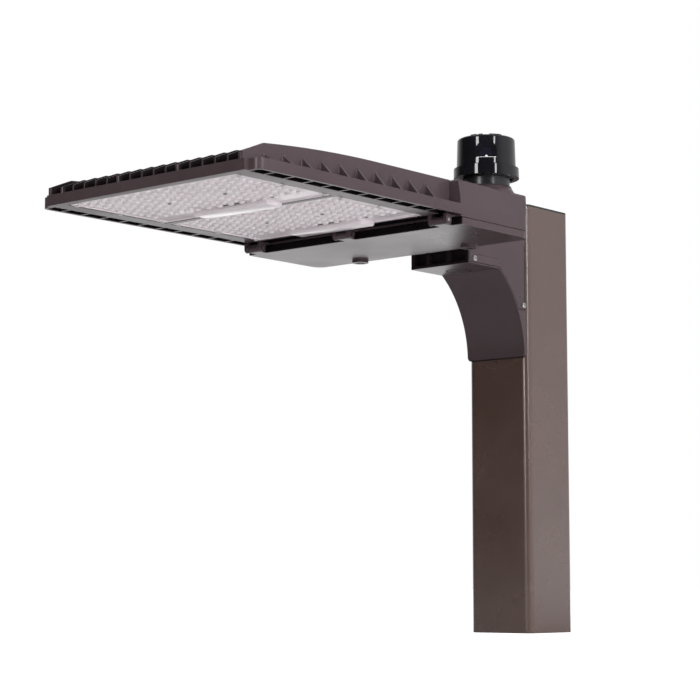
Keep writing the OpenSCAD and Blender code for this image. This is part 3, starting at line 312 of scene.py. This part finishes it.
plastics = {
    "darkPlastic": {"low": (0.035, 0.028, 0.026), "high": (0.05, 0.04, 0.037)},
    "blackPlastic": {"low": (0.012, 0.012, 0.013), "high": (0.02, 0.02, 0.022), "rough": (0.25, 0.35)},
    "blackGloss": {"low": (0.006, 0.006, 0.008), "high": (0.009, 0.009, 0.012), "rough": (0.05, 0.09),
        "depth": 0.03, "specular": 0.42, "gloss": 0.15},
    "windowPlastic": {"low": (0.008, 0.008, 0.014), "high": (0.013, 0.013, 0.02), "rough": (0.05, 0.1),
        "gloss": 0.2},
    "lightPlastic": {"low": (0.74, 0.73, 0.69), "high": (0.82, 0.81, 0.78)},
    "gasketRubber": {"low": (0.012, 0.012, 0.012), "high": (0.022, 0.021, 0.021), "rough": (0.6, 0.75),
        "depth": 0.3},
    "boardWhite": {"low": (0.78, 0.77, 0.74), "high": (0.85, 0.84, 0.82), "rough": (0.3, 0.4)},
    "boardGreen": {"low": (0.02, 0.12, 0.05), "high": (0.03, 0.17, 0.07), "rough": (0.25, 0.4)},
    "relayBlue": {"low": (0.03, 0.08, 0.28), "high": (0.04, 0.1, 0.33), "rough": (0.3, 0.4)},
    "leadRed": {"low": (0.45, 0.03, 0.02), "high": (0.52, 0.04, 0.03)},
    "leadBlack": {"low": (0.015, 0.015, 0.015), "high": (0.025, 0.025, 0.025)},
    "lensDark": {"low": (0.05, 0.045, 0.045), "high": (0.08, 0.07, 0.07)},
    "screwGrey": {"low": (0.24, 0.22, 0.225), "high": (0.3, 0.28, 0.285)},
}

metals = {
    "zincPlate": {"low": (0.5, 0.5, 0.49), "high": (0.66, 0.66, 0.64)},
    "bronzePlate": {"low": (0.10, 0.08, 0.075), "high": (0.14, 0.11, 0.1), "rough": (0.35, 0.5)},
    "bareAluminium": {"low": (0.6, 0.6, 0.61), "high": (0.72, 0.72, 0.73), "stretch": (1, 30, 1)},
    "contactBrass": {"low": (0.62, 0.46, 0.18), "high": (0.75, 0.58, 0.27)},
}

finishes = {
    "castPaint": powderCoat("castPaint", castLook, inPaintedShade),
    "plugPaint": powderCoat("plugPaint", castLook, plugGapShade),
    "polePaint": powderCoat("polePaint", poleLook),
    "lensPlastic": lensPlastic("lensPlastic"),
}
for table, make in ((plastics, moulded), (metals, metal)):
    for finishName, look in table.items():
        finishes[finishName] = make(finishName, **look)

nodeFinishes = {
    "castPaint": ["housing", "driver_door", "arm_casting", "arm_side_cover"],
    "plugPaint": ["arm_plug"],
    "polePaint": ["pole_section"],
    "darkPlastic": ["surge_protector"],
    "bronzePlate": ["door_screw_left", "door_screw_right"],
    "blackPlastic": ["receptacle_body", "photocell_base", "pole_cap"],
    "blackGloss": ["photocell_cap"],
    "lightPlastic": ["board_connectors", "terminal_block"],
    "gasketRubber": ["arm_gasket", "door_gasket", "lens_gasket_front", "lens_gasket_rear", "receptacle_gasket",
        "photocell_gasket", "wire_bushing"],
    "boardWhite": ["led_board_front", "led_board_rear"],
    "boardGreen": ["photocell_board"],
    "relayBlue": ["photocell_relay"],
    "leadRed": ["rear_module_lead"],
    "leadBlack": ["front_module_lead"],
    "zincPlate": ["pole_bolts", "pole_bolt_washers", "pole_nut_plate", "housing_bolts", "housing_bolt_washers",
        "door_hinge_pins", "receptacle_nut", "arm_cover_screws", "lens_screws", "driver_screws"],
    "bareAluminium": ["led_driver"],
    "contactBrass": ["receptacle_contacts", "photocell_blades"],
    "lensPlastic": ["lens_front", "lens_rear"],
    "windowPlastic": ["photocell_window"],
}

for finishName, members in nodeFinishes.items():
    for member in members:
        slots = nodes[member].data.materials
        slots.clear()
        slots.append(finishes[finishName])
print("finishes set")


# Surfaces: each part of a piece is (points, quads, caps), worked out as whole arrays

shaping = {"weld": 1e-6, "sharpAngle": 35, "cornerSteps": 4}


def gridQuads(rows, columns, wrap):
    # Quads between neighbouring rows and columns of a grid; wrap joins the last column to the first
    r = np.arange(rows - 1)[:, None]
    c = np.arange(columns if wrap else columns - 1)[None, :]
    n = (c + 1) % columns
    corners = [r * columns + c, r * columns + n, (r + 1) * columns + n, (r + 1) * columns + c]
    return np.stack(corners, -1).reshape(-1, 4)


def roundedBox(low, high, radius, steps=shaping["cornerSteps"]):
    # Each direction of a sphere is pushed out to the box corner that it points at:
    # corner centre + radius * direction
    low, high = np.array(low, float), np.array(high, float)
    quarter = np.linspace(0, math.pi / 2, steps + 1)
    lat = np.concatenate([quarter - math.pi / 2, quarter])
    lon = np.concatenate([quarter + k * math.pi / 2 for k in range(4)])
    signX = np.repeat([1, -1, -1, 1], steps + 1)
    signY = np.repeat([1, 1, -1, -1], steps + 1)
    signZ = np.repeat([-1, 1], steps + 1)
    half = (high - low) / 2 - radius
    mid = (high + low) / 2
    x = mid[0] + signX[None, :] * half[0] + radius * np.cos(lat)[:, None] * np.cos(lon)[None, :]
    y = mid[1] + signY[None, :] * half[1] + radius * np.cos(lat)[:, None] * np.sin(lon)[None, :]
    z = np.broadcast_to((mid[2] + signZ * half[2] + radius * np.sin(lat))[:, None], x.shape)
    points = np.stack([x, y, z], -1).reshape(-1, 3)
    top = (lat.size - 1) * lon.size
    corners = [k * (steps + 1) for k in range(4)]
    caps = [corners[::-1], [top + c for c in corners]]
    return points, gridQuads(lat.size, lon.size, True), caps


def revolved(profile, segments):
    # A profile of (radius, height) carried round the Z axis; it starts and ends on the axis
    profile = np.array(profile, float)
    turn = np.arange(segments) * 2 * math.pi / segments
    x = profile[:, :1] * np.cos(turn)[None, :]
    y = profile[:, :1] * np.sin(turn)[None, :]
    z = np.broadcast_to(profile[:, 1:], x.shape)
    return np.stack([x, y, z], -1).reshape(-1, 3), gridQuads(len(profile), segments, True), []


def moved(part, offset, turn=None):
    # The part turned by a 3 x 3 matrix and shifted
    points = part[0] if turn is None else part[0] @ np.array(turn).T
    return points + np.array(offset), part[1], part[2]


def inMetres(part):
    return part[0] * mm, part[1], part[2]


def makePiece(name, parts, finish, body, tips=None):
    points, faces, start = [], [], 0
    for part in parts:
        points.append(part[0])
        faces += (part[1] + start).tolist() + [[c + start for c in cap] for cap in part[2]]
        start += len(part[0])
    points = np.concatenate(points)
    mesh = bpy.data.meshes.new(name)
    mesh.from_pydata(points.tolist(), [], faces)
    if tips is not None:
        layer = mesh.attributes.new("tip", "FLOAT", "POINT")
        layer.data.foreach_set("value", np.concatenate(tips).astype(np.float32))
    work = bmesh.new()
    work.from_mesh(mesh)
    bmesh.ops.remove_doubles(work, verts=work.verts, dist=shaping["weld"])
    bmesh.ops.recalc_face_normals(work, faces=work.faces)
    work.to_mesh(mesh)
    work.free()
    mesh.shade_smooth()
    mesh.set_sharp_from_angle(angle=math.radians(shaping["sharpAngle"]))
    mesh.materials.append(finishes[finish])
    piece = bpy.data.objects.new(name, mesh)
    scene.collection.objects.link(piece)
    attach(piece, body)
    return piece


# Lens plates: a thin plate with a rim, ears for its screws, a hump over the wires and rows of bumps

lens = {
    "nodes": ["lens_front", "lens_rear"],
    "columns": 14, "rows": 11, "pitchX": 18.4, "pitchY": 11.8, "firstRow": 6.5,
    "bump": (4.6, 3.4, 2.6), "square": 2.2, "foot": 0.5,
    "rings": (1.0, 0.93, 0.78, 0.52, 0.25, 0.0), "segments": 12,
    "plateLow": 13.8, "plateTop": 15.8, "plateRadius": 0.6,
    "humpLow": 7.5, "humpLength": 29, "humpHalf": 62, "humpRadius": 3.4, "humpEnds": (0.5, 0.2),
    "humpSink": 0.4, "humpTip": 0.3,
    "rim": 3.2, "rimLow": 12.4, "rimRadius": 0.5, "rimSink": 0.6, "rimLap": 1,
    "earPlace": 134, "earEnd": 9.5, "earHalf": (3.5, 7), "earLow": 12.0, "earRadius": 1.2, "earSink": 0.5,
    "screwColumns": (4, 9), "screwRow": 6,
}


def bumpField(xs, ys):
    # One dome over a rounded rectangle: the rim is a superellipse, the height falls as the root of 1 - r cubed
    a, b, h = lens["bump"]
    ring = np.array(lens["rings"])[:, None]
    turn = (np.arange(lens["segments"]) + 0.5) * 2 * math.pi / lens["segments"]
    c, s = np.cos(turn), np.sin(turn)
    edge = 1 / (np.abs(c) ** lens["square"] + np.abs(s) ** lens["square"]) ** (1 / lens["square"])
    x = a * ring * edge * c
    y = b * ring * edge * s
    up = np.sqrt(np.clip(1 - ring ** 3, 0, 1)) + 0 * x
    foot = np.stack([x[0], y[0], 0 * x[0] + lens["foot"]], -1)[None]
    dome = np.concatenate([foot, np.stack([x, y, -h * up], -1)])
    tips = np.concatenate([np.zeros((1, turn.size)), up])
    centres = np.stack(np.meshgrid(xs, ys, indexing="ij"), -1).reshape(-1, 2)
    # The places of the plate's inner screws stay free of bumps
    free = [column * lens["rows"] + lens["screwRow"] for column in lens["screwColumns"]]
    centres = np.delete(centres, free, axis=0)
    count = len(centres)
    field = dome[None] + np.concatenate([centres, np.zeros((count, 1))], 1)[:, None, None, :]
    rows = dome.shape[0]
    start = np.arange(count) * rows * turn.size
    quads = (gridQuads(rows, turn.size, True)[None] + start[:, None, None]).reshape(-1, 4)
    caps = [list(range(k, k + turn.size))[::-1] for k in start.tolist()]
    return field.reshape(-1, 3), quads, caps, np.tile(tips.reshape(-1), count)


def lensPlate(name, node):
    low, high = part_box(node)
    front = low.y / mm
    rear = high.y / mm
    half = high.x / mm
    plateLow = baseHeight + lens["plateLow"]
    plateTop = baseHeight + lens["plateTop"]
    xs = (np.arange(lens["columns"]) - (lens["columns"] - 1) / 2) * lens["pitchX"]
    ys = front + lens["firstRow"] + np.arange(lens["rows"]) * lens["pitchY"]
    points, quads, caps, bumpTips = bumpField(xs, ys)
    parts = [inMetres((points + np.array([0, 0, plateLow]), quads, caps))]
    boxes = [((-half, front, plateLow), (half, rear, plateTop), lens["plateRadius"], 0)]
    humpFront = rear - lens["humpLength"] + lens["humpEnds"][0]
    humpRear = rear - lens["humpEnds"][1]
    boxes.append(((-lens["humpHalf"], humpFront, baseHeight + lens["humpLow"]),
        (lens["humpHalf"], humpRear, plateTop - lens["humpSink"]), lens["humpRadius"], lens["humpTip"]))
    rim, lap = lens["rim"], lens["rimLap"]
    for rimLow, rimHigh in (((-half, front), (half, front + rim)), ((-half, rear - rim), (half, rear)),
            ((-half, front + lap), (rim - half, rear - lap)), ((half - rim, front + lap), (half, rear - lap))):
        boxes.append(((*rimLow, baseHeight + lens["rimLow"]), (*rimHigh, plateTop - lens["rimSink"]),
            lens["rimRadius"], 0))
    earX, earY = lens["earHalf"]
    for side in (-lens["earPlace"], lens["earPlace"]):
        for out in (front + lens["earEnd"], (front + rear) / 2, rear - lens["earEnd"]):
            boxes.append(((side - earX, out - earY, baseHeight + lens["earLow"]),
                (side + earX, out + earY, plateTop - lens["earSink"]), lens["earRadius"], 0))
    tips = [bumpTips]
    for boxLow, boxHigh, radius, tip in boxes:
        part = inMetres(roundedBox(boxLow, boxHigh, radius))
        parts.append(part)
        tips.append(np.full(len(part[0]), float(tip)))
    piece = makePiece(name, parts, "lensPlastic", "head_and_pole", tips=tips)
    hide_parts(node)
    return front, rear


moduleEnds = [lensPlate("lensPlate" + node.split("_")[1].title(), node) for node in lens["nodes"]]
print("lens plates made")


# Small screws with a domed head and a round socket; the axis runs from the head to the tip

screwShape = {"segments": 24, "arcSteps": 7, "socketShare": 0.45, "socketDepthShare": 0.55, "floorShare": 0.9,
    "domeShare": 0.75, "rimShare": 0.1, "underShare": 0.97}

screwSets = {
    "lensScrewHeads": {"node": "lens_screws", "axis": (0, 0, 1), "radius": 2.8, "height": 1.8, "shank": 1.5,
        "length": 8.8},
    "driverScrewHeads": {"node": "driver_screws", "axis": (0, 0, 1), "radius": 3.8, "height": 2.5, "shank": 2.0,
        "length": 5.0},
    "armCoverScrewHeads": {"node": "arm_cover_screws", "axis": (-1, 0, 0), "radius": 4.0, "height": 2.4,
        "shank": 2.0, "length": 13.0},
}


def panHead(sizes):
    # Profile from the socket's floor, over the dome and down the shank; the head points along -Z
    radius, height, shank, length = (sizes[key] for key in ("radius", "height", "shank", "length"))
    socket = radius * screwShape["socketShare"]
    floor = -height * (1 - screwShape["socketDepthShare"])
    arc = np.linspace(0, math.pi / 2, screwShape["arcSteps"])
    rise = screwShape["domeShare"] * np.cos(arc) + 1 - screwShape["domeShare"]
    dome = np.stack([socket + (radius - socket) * np.sin(arc), -height * rise], -1)
    profile = [(0, floor), (socket * screwShape["floorShare"], floor), (socket, -height)] + dome.tolist()
    profile += [(radius, -height * screwShape["rimShare"]), (radius * screwShape["underShare"], 0), (shank, 0),
        (shank, length), (0, length)]
    return revolved(profile, screwShape["segments"])


def turnTo(axis):
    # Rotation that takes +Z to an axis square to Y
    x = np.cross((0, 1, 0), axis)
    return np.stack([x, np.cross(axis, x), axis], 1)


def solidBoxes(node):
    # The lowest and highest corner of each separate solid in a node, from its own vertices
    work = bmesh.new()
    work.from_mesh(nodes[node].data)
    bmesh.ops.remove_doubles(work, verts=work.verts, dist=shaping["weld"])
    left, boxes = set(work.verts), []
    while left:
        stack, group = [left.pop()], []
        while stack:
            vertex = stack.pop()
            group.append(vertex.co.copy())
            for edge in vertex.link_edges:
                other = edge.other_vert(vertex)
                if other in left:
                    left.remove(other)
                    stack.append(other)
        group = np.array(group)
        boxes.append((group.min(0), group.max(0)))
    work.free()
    return sorted(boxes, key=lambda box: tuple(box[0]))


for name, sizes in screwSets.items():
    part = inMetres(panHead(sizes))
    axis = np.array(sizes["axis"], float)
    screwParts = []
    for low, high in solidBoxes(sizes["node"]):
        # The head's flat side lies one head height in from the end of the solid
        inward = (high - low) @ np.abs(axis) / 2 - sizes["height"] * mm
        screwParts.append(moved(part, (low + high) / 2 - axis * inward, turnTo(axis)))
    piece = makePiece(name, screwParts, "zincPlate", "head_and_pole")
    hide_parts(sizes["node"])
print("screws made")


# Board screws between the bumps, and dark pieces in the gaps at the front edge of each hump as painted shade

boardMarks = {
    "screw": {"radius": 2.6, "height": 1.6, "shank": 1.5, "length": 1.2},
    "shadeGaps": ((-17.5, 2.0), (6.0, 30.0), (70.0, 80.0)), "fromHump": 0.2, "reach": (-2.0, 1.2),
    "under": 0.5, "below": 1, "radius": 0.4, "steps": 2,
}


def boardDetails(label, front, rear):
    plateLow = baseHeight + lens["plateLow"]
    boardScrews = []
    for column in lens["screwColumns"]:
        x = (column - (lens["columns"] - 1) / 2) * lens["pitchX"]
        y = front + lens["firstRow"] + lens["screwRow"] * lens["pitchY"]
        boardScrews.append(inMetres(moved(panHead(boardMarks["screw"]), (x, y, plateLow))))
    makePiece("boardScrews" + label, boardScrews, "screwGrey", "head_and_pole")
    # Dark pieces in the gaps at the hump's front edge stand for the shade in them: painted shade
    edge = rear - lens["humpLength"] - boardMarks["fromHump"]
    low = (edge + boardMarks["reach"][0], plateLow - boardMarks["under"])
    high = (edge + boardMarks["reach"][1], baseHeight + lens["plateTop"] - boardMarks["below"])
    shadeGaps = [inMetres(roundedBox((x0, *low), (x1, *high), boardMarks["radius"], boardMarks["steps"]))
        for x0, x1 in boardMarks["shadeGaps"]]
    makePiece("wireGapShade" + label, shadeGaps, "lensDark", "head_and_pole")


for label, (front, rear) in zip(("Front", "Rear"), moduleEnds):
    boardDetails(label, front, rear)
print("module details made")


# Light sensor behind the photocell's window, and a thin light lip on the window's sill that stands for the
# highlight on the sill's edge: a painted highlight

sensor = {
    "radius": 1.8, "direction": (0.602, -0.799), "fromAxis": 34.8, "rise": 98.6, "arcSteps": 9, "segments": 20,
    "lipRadius": (36.0, 36.9), "lipRise": (97.15, 97.75), "lipHalfAngle": 19.5, "lipSteps": 15,
}


def sillHighlightLip():
    # A short arc of a ring with a rectangular section, closed by a face at each end
    facing = math.atan2(sensor["direction"][1], sensor["direction"][0])
    swing = math.radians(sensor["lipHalfAngle"])
    turn = facing + np.linspace(-swing, swing, sensor["lipSteps"])
    (inner, outer), (lower, upper) = sensor["lipRadius"], sensor["lipRise"]
    section = ((inner, lower), (outer, lower), (outer, upper), (inner, upper))
    points = np.stack([np.stack([r * np.cos(turn), r * np.sin(turn), z + 0 * turn], -1) for r, z in section], 1)
    last = (sensor["lipSteps"] - 1) * len(section)
    ends = [[3, 2, 1, 0], [last, last + 1, last + 2, last + 3]]
    return points.reshape(-1, 3), gridQuads(sensor["lipSteps"], len(section), True), ends


low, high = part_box("photocell_cap")
foot = np.array([(low.x + high.x) / 2, (low.y + high.y) / 2, baseHeight * mm])
spot = np.append(np.array(sensor["direction"]) * sensor["fromAxis"], sensor["rise"])
arc = np.linspace(0, math.pi, sensor["arcSteps"])
ball = revolved(np.stack([np.sin(arc), -np.cos(arc)], -1) * sensor["radius"], sensor["segments"])
sensorParts = [moved(inMetres(part), foot) for part in (moved(ball, spot), sillHighlightLip())]
makePiece("sensorAndSillHighlight", sensorParts, "lightPlastic", "photocell")
print("photocell details made")


# Floor and light

studio = {
    "floorColour": (0.93, 0.91, 0.915), "floorRough": 0.9, "floorRadius": 14, "liftFrom": (0.8, 2.5),
    "seenLift": (0.86, 1.0), "glossyFrom": (0.0, 2.4), "glossyLift": (0.0, 1.35),
    "ambient": 0.15, "dark": 0.03, "bright": 0.7, "gradient": (-0.45, 0.3), "target": (0.05, -0.4, 0.45),
    "key": {"place": (3.4, -0.7, 0.7), "size": (2.4, 2.4), "power": 162, "colour": (0.96, 0.95, 1.0)},
    "front": {"place": (0.25, -3.6, 1.3), "size": (0.6, 1.3), "power": 34},
    "edge": {"place": (2.97, -1.26, 1.3), "size": (0.3, 1.1), "power": 15},
    "top": {"place": (-0.4, -0.6, 3.6), "size": (3.0, 3.0), "power": 24},
}

floorMesh = bpy.data.meshes.new("floor")
r = studio["floorRadius"]
floorMesh.from_pydata([(-r, -r, 0), (r, -r, 0), (r, r, 0), (-r, r, 0)], [], [(0, 1, 2, 3)])
floor = bpy.data.objects.new("floor", floorMesh)
scene.collection.objects.link(floor)
floorMaterial, floorTree, floorShader = newMaterial("floorPaper")
floorShader.inputs["Base Color"].default_value = (*studio["floorColour"], 1)
floorShader.inputs["Roughness"].default_value = studio["floorRough"]


def seenDirectly(tree, path):
    # One for rays from the camera and for rays that come through a clear piece
    return tree.maths("MAXIMUM", path["Is Camera Ray"], path["Is Transmission Ray"])


def floorGlow(flag, along, span, levels):
    # The floor's glow where the flag is set rises along one measure
    rise = floorTree.spanned(along, span, levels, interpolation_type="SMOOTHSTEP")
    return floorTree.maths("MULTIPLY", flag, rise)


floorPath = floorTree.add("ShaderNodeLightPath").outputs
floorPlace = floorTree.place()
fromMiddle = floorTree.vectors("LENGTH", floorPlace).outputs["Value"]
backward = floorTree.split(floorPlace)["Y"]
lift = floorTree.maths("MAXIMUM",
    floorGlow(seenDirectly(floorTree, floorPath), fromMiddle, studio["liftFrom"], studio["seenLift"]),
    floorGlow(floorPath["Is Glossy Ray"], backward, studio["glossyFrom"], studio["glossyLift"]))
floorTree.link(lift, floorShader.inputs["Emission Strength"])
floorShader.inputs["Emission Color"].default_value = (1, 1, 1, 1)
floorMesh.materials.append(floorMaterial)


# The world is white where it is seen, dark in front to bright behind where it is mirrored, and dim elsewhere

world = bpy.data.worlds.new("studio")
world.use_nodes = True
scene.world = world
sky = Tree(world.node_tree)
background = world.node_tree.nodes["Background"]
direction = sky.add("ShaderNodeTexCoord").outputs["Generated"]
gradient = sky.spanned(sky.split(direction)["Y"], studio["gradient"], (studio["dark"], studio["bright"]),
    interpolation_type="SMOOTHSTEP")
skyPath = sky.add("ShaderNodeLightPath").outputs
glossy = sky.add("ShaderNodeMix", {0: skyPath["Is Glossy Ray"], 2: studio["ambient"], 3: gradient})
strength = sky.add("ShaderNodeMix", {0: seenDirectly(sky, skyPath), 2: glossy.outputs[0], 3: 1.0})
sky.link(strength.outputs[0], background.inputs["Strength"])
background.inputs["Color"].default_value = (1, 1, 1, 1)


def areaLight(name, settings):
    light = bpy.data.lights.new(name, "AREA")
    light.shape = "RECTANGLE"
    light.size, light.size_y = settings["size"]
    light.energy = settings["power"]
    light.color = settings.get("colour", (1, 1, 1))
    lamp = bpy.data.objects.new(name, light)
    lamp.location = settings["place"]
    aim = np.array(studio["target"]) - np.array(settings["place"])
    flat = math.hypot(aim[0], aim[1])
    lamp.rotation_euler = (math.atan2(flat, -aim[2]), 0, math.atan2(aim[1], aim[0]) - math.pi / 2)
    scene.collection.objects.link(lamp)
    return lamp


areaLight("keyLight", studio["key"]).visible_glossy = False
areaLight("frontLight", studio["front"])
areaLight("edgeLight", studio["edge"]).visible_diffuse = False
areaLight("topLight", studio["top"])
print("studio lit")
